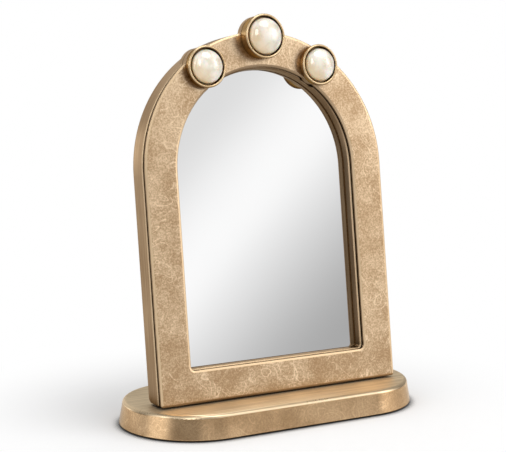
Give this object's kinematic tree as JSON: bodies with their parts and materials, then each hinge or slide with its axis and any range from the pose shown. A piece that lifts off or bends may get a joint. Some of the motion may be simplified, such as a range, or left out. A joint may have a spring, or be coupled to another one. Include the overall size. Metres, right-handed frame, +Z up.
{
  "type": "table mirror",
  "caption": "Arched table mirror in a bronze-finish metal frame with pearl cabochons at the crown, tilting on a weighted pill-shaped base.",
  "frame": {"origin": "on the floor plane, under the middle of the base, in the middle of the felt pad", "axes": "+X to the viewer's right along the base, +Y to the back, +Z up; the glass faces -Y and leans back 7.7 degrees at rest"},
  "size_m": [0.2357, 0.1092, 0.2953],
  "materials": {
    "bronze": "cast, champagne bronze patina, satin",
    "polished_bronze": "turned, polished champagne bronze",
    "pearl": "ivory pearl lustre",
    "mirror": "silvered float glass",
    "black_rubber": "matt dark strip",
    "foam": "closed-cell sheet",
    "panel": "fibreboard, dark brown flock",
    "steel": "zinc plated",
    "ballast_iron": "black oxide",
    "cover_sheet": "black powder coat",
    "felt": "pressed felt",
    "button_brass": "antique brass plate"
  },
  "bodies": {
    "base": {"base_casting": "bronze", "ballast_plate": "ballast_iron", "ballast_screws": "steel", "bottom_plate": "cover_sheet", "bottom_plate_screws": "steel", "felt_pad": "felt", "hinge_ear_left": "steel", "hinge_ear_right": "steel", "stud_nuts": "steel", "stud_washers": "steel"},
    "mirror_frame": {"front_frame": "bronze", "rear_frame": "bronze", "cup_left": "polished_bronze", "cup_center": "polished_bronze", "cup_right": "polished_bronze", "pearl_left": "pearl", "pearl_center": "pearl", "pearl_right": "pearl", "mirror_glass": "mirror", "frame_gasket": "black_rubber", "crown_gasket": "black_rubber", "glass_gasket": "black_rubber", "foam_backer": "foam", "back_panel": "panel", "hinge_block_left": "steel", "hinge_block_right": "steel", "hinge_pin_left": "steel", "hinge_pin_right": "steel", "hinge_pin_nuts": "steel", "friction_washers": "steel", "cup_screws": "steel", "frame_screws": "steel", "hinge_block_screws": "steel", "turn_button_screws": "button_brass"},
    "button_left_low": {"turn_button_left_low": "button_brass"},
    "button_left_high": {"turn_button_left_high": "button_brass"},
    "button_right_low": {"turn_button_right_low": "button_brass"},
    "button_right_high": {"turn_button_right_high": "button_brass"},
    "button_top": {"turn_button_top": "button_brass"},
    "button_bottom": {"turn_button_bottom": "button_brass"}
  },
  "joints": [
    {"name": "frame_tilt", "type": "hinge", "parent": "base", "child": "mirror_frame", "pos_m": [0, -0.00855, 0.02539], "axis": [-1, 0, 0], "range_deg": [-4, 12]},
    {"name": "button_left_low_turn", "type": "hinge", "parent": "mirror_frame", "child": "button_left_low", "pos_m": [-0.08975, 0.00865, 0.08543], "axis": [0, 0.991, -0.134], "range_deg": [-90, 90]},
    {"name": "button_left_high_turn", "type": "hinge", "parent": "mirror_frame", "child": "button_left_high", "pos_m": [-0.08975, 0.01882, 0.16064], "axis": [0, 0.991, -0.134], "range_deg": [-90, 90]},
    {"name": "button_right_low_turn", "type": "hinge", "parent": "mirror_frame", "child": "button_right_low", "pos_m": [0.08975, 0.00865, 0.08543], "axis": [0, 0.991, -0.134], "range_deg": [-90, 90]},
    {"name": "button_right_high_turn", "type": "hinge", "parent": "mirror_frame", "child": "button_right_high", "pos_m": [0.08975, 0.01882, 0.16064], "axis": [0, 0.991, -0.134], "range_deg": [-90, 90]},
    {"name": "button_top_turn", "type": "hinge", "parent": "mirror_frame", "child": "button_top", "pos_m": [0, 0.0335, 0.26921], "axis": [0, 0.991, -0.134], "range_deg": [-90, 90]},
    {"name": "button_bottom_turn", "type": "hinge", "parent": "mirror_frame", "child": "button_bottom", "pos_m": [0, 0.00077, 0.02714], "axis": [0, 0.991, -0.134], "range_deg": [-90, 90]}
  ]
}
